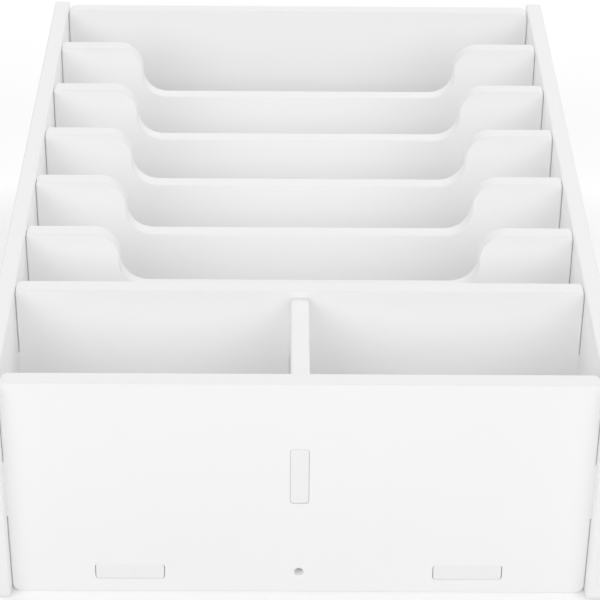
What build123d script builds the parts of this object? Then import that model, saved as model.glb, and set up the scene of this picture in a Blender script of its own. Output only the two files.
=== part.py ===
"""Drawer organizer insert, pushed together from flat plastic boards.

Two side panels carry everything else. Each board that crosses the insert ends in a tab at half its
height, which goes through a slot in the side panel and finishes flush outside. The bottom panel has
tabs on all four sides, and the cross divider locks into the front panel and the pocket divider.

Frame: the origin is the centre of the footprint, on the surface that the insert stands on.
+X is to the right, +Y to the rear and +Z up, so the front panel faces -Y.
"""
import os

from build123d import *

# Driving dimensions, in millimetres
BOARD = 5.0                # thickness of every board
HEIGHT = 70.0              # all upright boards end at this height
INNER_WIDTH = 158.0        # clear width between the side panels
POCKET_DEPTH = 40.0        # clear depth of the two front compartments
DIVIDER_PITCH = 30.0       # from one divider to the next
SCOOPED_COUNT = 5          # dividers with a finger scoop
REAR_GAP = 24.0            # clear depth between the last divider and the rear panel
SIDE_OVERHANG = 4.0        # length of side panel past the front and the rear panel
FLOOR_Z = 4.7              # underside of the bottom panel
SHOULDER_GAP = 0.15        # from the upright boards' side edges to the side panels
CROSS_DIVIDER_DROP = 2.0   # how far the cross divider stays below the other tops

# Finger scoop in the top edge of a scooped divider
SCOOP_WIDTH = 104.0
SCOOP_DEPTH = 18.0
SCOOP_RADIUS = 8.0

# Tabs, and the slots that take them
TAB_LENGTH = 18.7          # every tab but the cross divider's
CROSS_TAB_LENGTH = 17.7
BOTTOM_TAB_X = 46.3        # tabs of the bottom panel's front and rear edges, from the centre
BOTTOM_TAB_Y = 75.0        # outer tabs of its side edges, from the middle one
TAB_CORNER = 0.8           # long corners of a tab
TAB_END_RADIUS = 0.3       # rounding of a tab's end face
SLOT_CORNER = 1.0
SIDE_GAP = 0.1             # clearance on each face of a tab
END_GAP = 0.25             # clearance at each end of a tab
CROSS_SLOT_SLACK = 0.5     # extra width of the pocket divider's slot, all on its left

# Small fixing hole through the front panel into the edge of the bottom panel
PIN_RADIUS = 1.25
PIN_DEPTH_IN_BOTTOM = 8.0
PIN_RIM_RADIUS = 0.3       # rounding of its mouth

# Rounding
EDGE_RADIUS = 0.6          # eased edges along both faces of each board
PANEL_CORNER = 2.5         # corners of the side, front and rear panels
DIVIDER_CORNER = 1.5       # corners of the dividers

# Positions that follow from them
FLOOR_TOP = FLOOR_Z + BOARD
FLOOR_MID_Z = FLOOR_Z + BOARD / 2
INNER_DEPTH = POCKET_DEPTH + BOARD + SCOOPED_COUNT * DIVIDER_PITCH + REAR_GAP
LENGTH = INNER_DEPTH + 2 * BOARD + 2 * SIDE_OVERHANG
HALF_WIDTH = INNER_WIDTH / 2
UPRIGHT_WIDTH = INNER_WIDTH - 2 * SHOULDER_GAP
FRONT_PANEL_Y = -(INNER_DEPTH + BOARD) / 2
REAR_PANEL_Y = -FRONT_PANEL_Y
POCKET_DIVIDER_Y = FRONT_PANEL_Y + BOARD + POCKET_DEPTH
SCOOPED_Y = [POCKET_DIVIDER_Y + DIVIDER_PITCH * (i + 1) for i in range(SCOOPED_COUNT)]
CROSS_Y = (FRONT_PANEL_Y + POCKET_DIVIDER_Y) / 2

DIVIDER_HEIGHT = HEIGHT - FLOOR_TOP
PANEL_MID_Z = HEIGHT / 2
DIVIDER_MID_Z = FLOOR_TOP + DIVIDER_HEIGHT / 2
BOTTOM_TABS_X = (-BOTTOM_TAB_X, BOTTOM_TAB_X)
BOTTOM_TABS_Y = (-BOTTOM_TAB_Y, 0.0, BOTTOM_TAB_Y)

UP = Vector(0, 0, 1)
FRONT = Vector(0, -1, 0)
REAR = Vector(0, 1, 0)
LEFT = Vector(-1, 0, 0)
RIGHT = Vector(1, 0, 0)


def facing(direction, x=0.0, y=0.0):
    """Sketch plane that looks in a level direction from (x, y), with its own Y axis upright."""
    return Plane(origin=(x, y, 0), x_dir=UP.cross(direction), z_dir=direction)


def rectangle(width, height, middle, corner):
    """Add a rectangle with rounded corners to the current sketch."""
    with Locations(middle):
        RectangleRounded(width, height, corner)


def slot(middle, length, rotation=0, slack=0.0):
    """Cut a tab's slot out of the current sketch. It is upright unless it is turned."""
    width = BOARD + 2 * SIDE_GAP + slack
    with Locations(middle):
        RectangleRounded(width, length + 2 * END_GAP, SLOT_CORNER, rotation, mode=Mode.SUBTRACT)


def finish_board(board, axis):
    """Extrude the sketch to a board that lies across this axis, and round its outline's edges."""
    extrude(amount=BOARD / 2, both=True)
    faces = board.faces().sort_by(axis)
    rims = (faces[0].outer_wire(), faces[-1].outer_wire())
    fillet([edge for rim in rims for edge in rim.edges()], EDGE_RADIUS)


def add_tabs(board, edge_plane, spots, width, height):
    """Add tabs to the edge of a board. They start inside it and end a board's thickness outside."""
    with BuildSketch(edge_plane.offset(-BOARD)) as section:
        with Locations(*spots):
            RectangleRounded(width, height, TAB_CORNER)
    extrude(section.sketch, amount=2 * BOARD)
    ends = board.faces().group_by(Axis(edge_plane.origin, edge_plane.z_dir))[-1]
    fillet([edge for end in ends for edge in end.edges()], TAB_END_RADIUS)


def add_side_tabs(board, y, z):
    """Add the two tabs that hold a board between the side panels."""
    for direction in (LEFT, RIGHT):
        add_tabs(board, facing(direction, direction.X * HALF_WIDTH, y), [(0, z)], BOARD, TAB_LENGTH)


def write(board, name):
    """Label a finished board and write its STEP file."""
    board.part.label = name
    export_step(board.part, f"parts/{name}.step")


os.makedirs("parts", exist_ok=True)

# Side panels: every board that crosses the insert ends in one of their slots
for side, side_name in ((LEFT, "side_panel_left"), (RIGHT, "side_panel_right")):
    with BuildPart() as side_panel:
        with BuildSketch(facing(RIGHT, side.X * (HALF_WIDTH + BOARD / 2))):
            rectangle(LENGTH, HEIGHT, (0, PANEL_MID_Z), PANEL_CORNER)
            for slot_y in (FRONT_PANEL_Y, REAR_PANEL_Y):
                slot((slot_y, PANEL_MID_Z), TAB_LENGTH)
            for slot_y in (POCKET_DIVIDER_Y, *SCOOPED_Y):
                slot((slot_y, DIVIDER_MID_Z), TAB_LENGTH)
            for slot_y in BOTTOM_TABS_Y:
                slot((slot_y, FLOOR_MID_Z), TAB_LENGTH, rotation=90)
        finish_board(side_panel, Axis.X)
    write(side_panel, side_name)

# Front panel: slots for the bottom panel and the cross divider, and the fixing hole
with BuildPart() as front_panel:
    with BuildSketch(facing(FRONT, y=FRONT_PANEL_Y)):
        rectangle(UPRIGHT_WIDTH, HEIGHT, (0, PANEL_MID_Z), PANEL_CORNER)
        for slot_x in BOTTOM_TABS_X:
            slot((slot_x, FLOOR_MID_Z), TAB_LENGTH, rotation=90)
        slot((0, DIVIDER_MID_Z), CROSS_TAB_LENGTH)
        with Locations((0, FLOOR_MID_Z)):
            Circle(PIN_RADIUS, mode=Mode.SUBTRACT)
    finish_board(front_panel, Axis.Y)
    front_face = front_panel.faces().sort_by(Axis.Y)[0]
    pin_rim = front_face.edges().filter_by(GeomType.CIRCLE).sort_by(SortBy.LENGTH)[-1]
    fillet(pin_rim, PIN_RIM_RADIUS)
    add_side_tabs(front_panel, FRONT_PANEL_Y, PANEL_MID_Z)
write(front_panel, "front_panel")

# Rear panel
with BuildPart() as rear_panel:
    with BuildSketch(facing(FRONT, y=REAR_PANEL_Y)):
        rectangle(UPRIGHT_WIDTH, HEIGHT, (0, PANEL_MID_Z), PANEL_CORNER)
        for slot_x in BOTTOM_TABS_X:
            slot((slot_x, FLOOR_MID_Z), TAB_LENGTH, rotation=90)
    finish_board(rear_panel, Axis.Y)
    add_side_tabs(rear_panel, REAR_PANEL_Y, PANEL_MID_Z)
write(rear_panel, "rear_panel")

# Bottom panel: the fixing hole goes on into its front edge
with BuildPart() as bottom_panel:
    with BuildSketch(Plane.XY.offset(FLOOR_MID_Z)):
        Rectangle(INNER_WIDTH, INNER_DEPTH)
    finish_board(bottom_panel, Axis.Z)
    for outward in (LEFT, RIGHT):
        side_edge = facing(outward, x=outward.X * HALF_WIDTH)
        side_spots = [(tab_y, FLOOR_MID_Z) for tab_y in BOTTOM_TABS_Y]
        add_tabs(bottom_panel, side_edge, side_spots, TAB_LENGTH, BOARD)
    for outward in (FRONT, REAR):
        end_edge = facing(outward, y=outward.Y * INNER_DEPTH / 2)
        end_spots = [(tab_x, FLOOR_MID_Z) for tab_x in BOTTOM_TABS_X]
        add_tabs(bottom_panel, end_edge, end_spots, TAB_LENGTH, BOARD)
    with BuildSketch(facing(REAR, y=-INNER_DEPTH / 2)):
        with Locations((0, FLOOR_MID_Z)):
            Circle(PIN_RADIUS)
    extrude(amount=PIN_DEPTH_IN_BOTTOM, mode=Mode.SUBTRACT)
write(bottom_panel, "bottom_panel")

# Pocket divider: the straight one behind the two front compartments
with BuildPart() as pocket_divider:
    with BuildSketch(facing(FRONT, y=POCKET_DIVIDER_Y)):
        rectangle(UPRIGHT_WIDTH, DIVIDER_HEIGHT, (0, DIVIDER_MID_Z), DIVIDER_CORNER)
        slot((-CROSS_SLOT_SLACK / 2, DIVIDER_MID_Z), CROSS_TAB_LENGTH, slack=CROSS_SLOT_SLACK)
    finish_board(pocket_divider, Axis.Y)
    add_side_tabs(pocket_divider, POCKET_DIVIDER_Y, DIVIDER_MID_Z)
write(pocket_divider, "pocket_divider")

# Scooped dividers: the scoop's walls round off into its floor and into the top edge
for number, divider_y in enumerate(SCOOPED_Y, start=1):
    with BuildPart() as scooped_divider:
        with BuildSketch(facing(FRONT, y=divider_y)) as scooped_outline:
            rectangle(UPRIGHT_WIDTH, DIVIDER_HEIGHT, (0, DIVIDER_MID_Z), DIVIDER_CORNER)
            with Locations((0, HEIGHT - SCOOP_DEPTH / 2)):
                Rectangle(SCOOP_WIDTH, SCOOP_DEPTH, mode=Mode.SUBTRACT)
            scoop_corners = scooped_outline.vertices().filter_by(
                lambda corner: abs(corner.X) < SCOOP_WIDTH / 2 + EDGE_RADIUS
            )
            fillet(scoop_corners, SCOOP_RADIUS)
        finish_board(scooped_divider, Axis.Y)
        add_side_tabs(scooped_divider, divider_y, DIVIDER_MID_Z)
    write(scooped_divider, f"scooped_divider_{number}")

# Cross divider: splits the front compartment in two
with BuildPart() as cross_divider:
    with BuildSketch(facing(RIGHT)):
        cross_height = DIVIDER_HEIGHT - CROSS_DIVIDER_DROP
        with Locations((CROSS_Y, FLOOR_TOP + cross_height / 2)):
            Rectangle(POCKET_DEPTH, cross_height)
    finish_board(cross_divider, Axis.X)
    for outward in (FRONT, REAR):
        cross_edge = facing(outward, y=CROSS_Y + outward.Y * POCKET_DEPTH / 2)
        add_tabs(cross_divider, cross_edge, [(0, DIVIDER_MID_Z)], BOARD, CROSS_TAB_LENGTH)
write(cross_divider, "cross_divider")
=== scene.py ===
"""Looks of the drawer organizer insert: white plastic boards, pushed together with tabs and slots."""
from math import pi, radians

import bpy
from mathutils import Matrix, Vector


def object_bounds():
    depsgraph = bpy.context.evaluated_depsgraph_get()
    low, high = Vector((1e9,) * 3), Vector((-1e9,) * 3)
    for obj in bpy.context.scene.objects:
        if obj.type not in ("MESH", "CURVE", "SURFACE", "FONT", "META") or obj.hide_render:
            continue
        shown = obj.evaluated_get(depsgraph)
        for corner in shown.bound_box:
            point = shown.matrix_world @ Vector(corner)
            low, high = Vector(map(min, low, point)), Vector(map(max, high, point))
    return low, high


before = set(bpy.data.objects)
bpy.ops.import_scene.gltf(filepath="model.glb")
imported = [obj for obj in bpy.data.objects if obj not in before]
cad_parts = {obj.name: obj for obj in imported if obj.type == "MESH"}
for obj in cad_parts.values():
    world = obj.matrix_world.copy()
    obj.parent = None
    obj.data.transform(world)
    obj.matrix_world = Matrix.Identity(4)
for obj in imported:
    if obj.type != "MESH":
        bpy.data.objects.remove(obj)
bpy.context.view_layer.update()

LOW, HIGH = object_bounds()
SIZE = HIGH - LOW
CENTRE = (LOW + HIGH) / 2

# Boards by the axis that their faces look along
BOARD_AXES = {
    "X": ["side_panel_left", "side_panel_right", "cross_divider"],
    "Y": ["front_panel", "rear_panel", "pocket_divider"]
    + [f"scooped_divider_{number}" for number in range(1, 6)],
    "Z": ["bottom_panel"],
}

# Two shades of white for the boards' faces, and two for their cut edges
FACE_TONES = (0.944, 0.945, 0.946), (0.954, 0.954, 0.953)
EDGE_TONES = (0.885, 0.885, 0.883), (0.912, 0.912, 0.910)
FACE_ROUGHNESS = 0.40, 0.48
EDGE_ROUGHNESS = 0.55, 0.68
BOARD_IOR = 1.46

# How squarely a spot faces along its board's axis, where it is all face and where it is all edge
FACE_SQUARE = 0.98
EDGE_SQUARE = 0.80

# Details of the board, in waves per metre, and the heights of its relief in metres
CLOUD_SCALE = 22.0
SKIN_SCALE = 320.0
GRAIN_SCALE = 1400.0
PORE_SCALE = 1800.0
SKIN_HEIGHT = 0.00003
GRAIN_HEIGHT = 0.00001
PORE_DEPTH = 0.00004

# The floor as it is seen, its paper in two shades, and the greyer tone that lights the boards
PAPER_TONES = (0.955, 0.955, 0.955), (0.97, 0.97, 0.97)
FLOOR_BOUNCE = (0.87, 0.87, 0.87, 1.0)

# Side of the floor, in lengths of the insert
FLOOR_LENGTHS = 120

# The floor's glow, from its middle out to its white rim, by distance in metres
GLOW_FROM = 0.4
GLOW_TO = 1.8
GLOW_NEAR = 0.12
GLOW_FAR = 0.95

# Camera: in front of the insert and above it, in metres and degrees
CAMERA_PLACE = Vector((-0.00454, -0.5937, 0.40296))
CAMERA_PITCH = 32.647
CAMERA_YAW = 0.497
CAMERA_ROLL = 0.558
CAMERA_LENS = 134.76
SENSOR_WIDTH = 36.0

# Strength of the light from all round, and the softboxes' size and distance in metres
SURROUND_LIGHT = 0.12
SOFTBOX_SIZE = 1.2
SOFTBOX_DISTANCE = 1.8

# Azimuth and elevation in degrees, and power in watts
SOFTBOXES = {
    "front_left_softbox": (-35, 30, 13.1),
    "front_right_softbox": (35, 30, 11.5),
    "rear_left_softbox": (-140, 40, 11.1),
    "rear_right_softbox": (140, 40, 15.4),
}
VIEW_GAMMA = 1.5


class Nodes:
    """A short way to add and link the nodes of one material."""

    def __init__(self, name):
        self.material = bpy.data.materials.new(name)
        self.material.use_nodes = True
        self.tree = self.material.node_tree
        self.shader = self.tree.nodes["Principled BSDF"]

    def add(self, kind, inputs=None, **settings):
        node = self.tree.nodes.new(kind)
        for key, value in settings.items():
            setattr(node, key, value)
        for key, value in (inputs or {}).items():
            self.put(value, node.inputs[key])
        return node

    def put(self, value, socket):
        if isinstance(value, bpy.types.NodeSocket):
            self.tree.links.new(value, socket)
        else:
            socket.default_value = value

    def math(self, operation, *values):
        node = self.add("ShaderNodeMath", dict(enumerate(values)), operation=operation)
        return node.outputs[0]

    def noise(self, place, scale, detail=2.0, roughness=0.5):
        values = {"Vector": place, "Scale": scale, "Detail": detail, "Roughness": roughness}
        return self.add("ShaderNodeTexNoise", values).outputs["Fac"]

    def ramp(self, value, low, high, to_low=0.0, to_high=1.0):
        values = {"Value": value, 1: low, 2: high, 3: to_low, 4: to_high}
        return self.add("ShaderNodeMapRange", values).outputs[0]

    def blend(self, share, first, second):
        values = {0: share, 2: first, 3: second}
        return self.add("ShaderNodeMix", values, data_type="FLOAT").outputs[0]

    def mix(self, share, first, second):
        values = {0: share, 6: first, 7: second}
        return self.add("ShaderNodeMix", values, data_type="RGBA").outputs[2]

    def colours(self, share, first, second):
        return self.mix(share, (*first, 1), (*second, 1))

    def bump(self, height, distance, strength, normal=None):
        values = {"Height": height, "Distance": distance, "Strength": strength}
        if normal is not None:
            values["Normal"] = normal
        return self.add("ShaderNodeBump", values).outputs["Normal"]


def board_material(axis):
    """White foamed board: a satin skin on its faces, and a duller milled edge with small pores."""
    nodes = Nodes(f"white_board_{axis.lower()}")
    where = nodes.add("ShaderNodeTexCoord")
    place = where.outputs["Object"]
    facing = nodes.add("ShaderNodeSeparateXYZ", {0: where.outputs["Normal"]}).outputs[axis]
    edge = nodes.ramp(nodes.math("ABSOLUTE", facing), FACE_SQUARE, EDGE_SQUARE)

    clouds = nodes.noise(place, CLOUD_SCALE, 3.0)
    skin = nodes.noise(place, SKIN_SCALE, 3.0)
    grain = nodes.noise(place, GRAIN_SCALE, 3.0, 0.6)
    cells = nodes.add("ShaderNodeTexVoronoi", {"Vector": place, "Scale": PORE_SCALE}).outputs["Distance"]
    pores = nodes.math("MULTIPLY", nodes.ramp(cells, 0.10, 0.35, 1.0, 0.0), edge)

    face_tone = nodes.colours(nodes.ramp(clouds, 0.35, 0.65), *FACE_TONES)
    edge_tone = nodes.colours(nodes.ramp(grain, 0.35, 0.65), *EDGE_TONES)
    nodes.put(nodes.mix(edge, face_tone, edge_tone), nodes.shader.inputs["Base Color"])
    face_rough = nodes.ramp(skin, 0.3, 0.7, *FACE_ROUGHNESS)
    edge_rough = nodes.ramp(grain, 0.3, 0.7, *EDGE_ROUGHNESS)
    nodes.put(nodes.blend(edge, face_rough, edge_rough), nodes.shader.inputs["Roughness"])

    relief = nodes.bump(skin, SKIN_HEIGHT, 0.35)
    relief = nodes.bump(grain, GRAIN_HEIGHT, 0.35, relief)
    relief = nodes.bump(pores, -PORE_DEPTH, 0.5, relief)
    nodes.put(relief, nodes.shader.inputs["Normal"])
    nodes.shader.inputs["IOR"].default_value = BOARD_IOR
    return nodes.material


def dress_boards():
    """Give every board the material for the way that it stands."""
    for axis, names in BOARD_AXES.items():
        material = board_material(axis)
        for name in names:
            for material_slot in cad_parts[name].material_slots:
                material_slot.material = material


def floor_material():
    """Pale paper with a touch of mottle. The camera sees it whiter than the boards do."""
    nodes = Nodes("pale_floor")
    place = nodes.add("ShaderNodeTexCoord").outputs["Object"]
    seen = nodes.add("ShaderNodeLightPath").outputs["Is Camera Ray"]
    paper = nodes.colours(nodes.noise(place, 6.0), *PAPER_TONES)
    nodes.put(nodes.mix(seen, FLOOR_BOUNCE, paper), nodes.shader.inputs["Base Color"])
    nodes.shader.inputs["Roughness"].default_value = 0.9
    nodes.shader.inputs["Specular IOR Level"].default_value = 0.2
    away = nodes.add("ShaderNodeVectorMath", {0: place}, operation="LENGTH").outputs["Value"]
    glow = nodes.ramp(away, GLOW_FROM, GLOW_TO, GLOW_NEAR, GLOW_FAR)
    glow = nodes.math("MULTIPLY", glow, seen)
    nodes.shader.inputs["Emission Color"].default_value = (1, 1, 1, 1)
    nodes.put(glow, nodes.shader.inputs["Emission Strength"])
    return nodes.material


def make_floor():
    """A wide pale floor just under the insert's lowest edges."""
    bpy.ops.mesh.primitive_plane_add(size=FLOOR_LENGTHS * SIZE.y, location=(CENTRE.x, CENTRE.y, LOW.z))
    floor = bpy.context.object
    floor.name = "floor"
    floor.data.materials.append(floor_material())


def softbox(name, azimuth, elevation, power):
    """A square softbox that looks at the insert. Azimuth 0 is in front, and 90 to the right."""
    turn = Matrix.Rotation(radians(azimuth), 3, "Z") @ Matrix.Rotation(-radians(elevation), 3, "X")
    away = turn @ Vector((0, -1, 0))
    data = bpy.data.lights.new(name, "AREA")
    data.size = SOFTBOX_SIZE
    data.energy = power
    light = bpy.data.objects.new(name, data)
    light.location = CENTRE + SOFTBOX_DISTANCE * away
    light.rotation_euler = away.to_track_quat("Z", "Y").to_euler()
    bpy.context.collection.objects.link(light)


def light_studio():
    """Soft studio: faint light all round, seen as white, and softboxes in front and behind."""
    world = bpy.data.worlds.new("white_studio")
    world.use_nodes = True
    nodes = world.node_tree.nodes
    background = nodes["Background"]
    background.inputs["Color"].default_value = (1, 1, 1, 1)
    strength = nodes.new("ShaderNodeMapRange")
    strength.inputs["To Min"].default_value = SURROUND_LIGHT
    seen = nodes.new("ShaderNodeLightPath").outputs["Is Camera Ray"]
    world.node_tree.links.new(seen, strength.inputs["Value"])
    world.node_tree.links.new(strength.outputs["Result"], background.inputs["Strength"])
    bpy.context.scene.world = world
    for name, (azimuth, elevation, power) in SOFTBOXES.items():
        softbox(name, azimuth, elevation, power)


def place_camera():
    """The camera, turned by yaw, pitch and roll."""
    data = bpy.data.cameras.new("camera")
    data.sensor_width = SENSOR_WIDTH
    data.lens = CAMERA_LENS
    camera = bpy.data.objects.new("camera", data)
    turn = Matrix.Rotation(-radians(CAMERA_YAW), 3, "Z")
    tilt = Matrix.Rotation(pi / 2 - radians(CAMERA_PITCH), 3, "X")
    roll = Matrix.Rotation(radians(CAMERA_ROLL), 3, "Z")
    camera.matrix_world = Matrix.Translation(CAMERA_PLACE) @ (turn @ tilt @ roll).to_4x4()
    bpy.context.collection.objects.link(camera)
    bpy.context.scene.camera = camera


place_camera()
dress_boards()
make_floor()
light_studio()
bpy.context.scene.view_settings.view_transform = "Standard"
bpy.context.scene.view_settings.gamma = VIEW_GAMMA
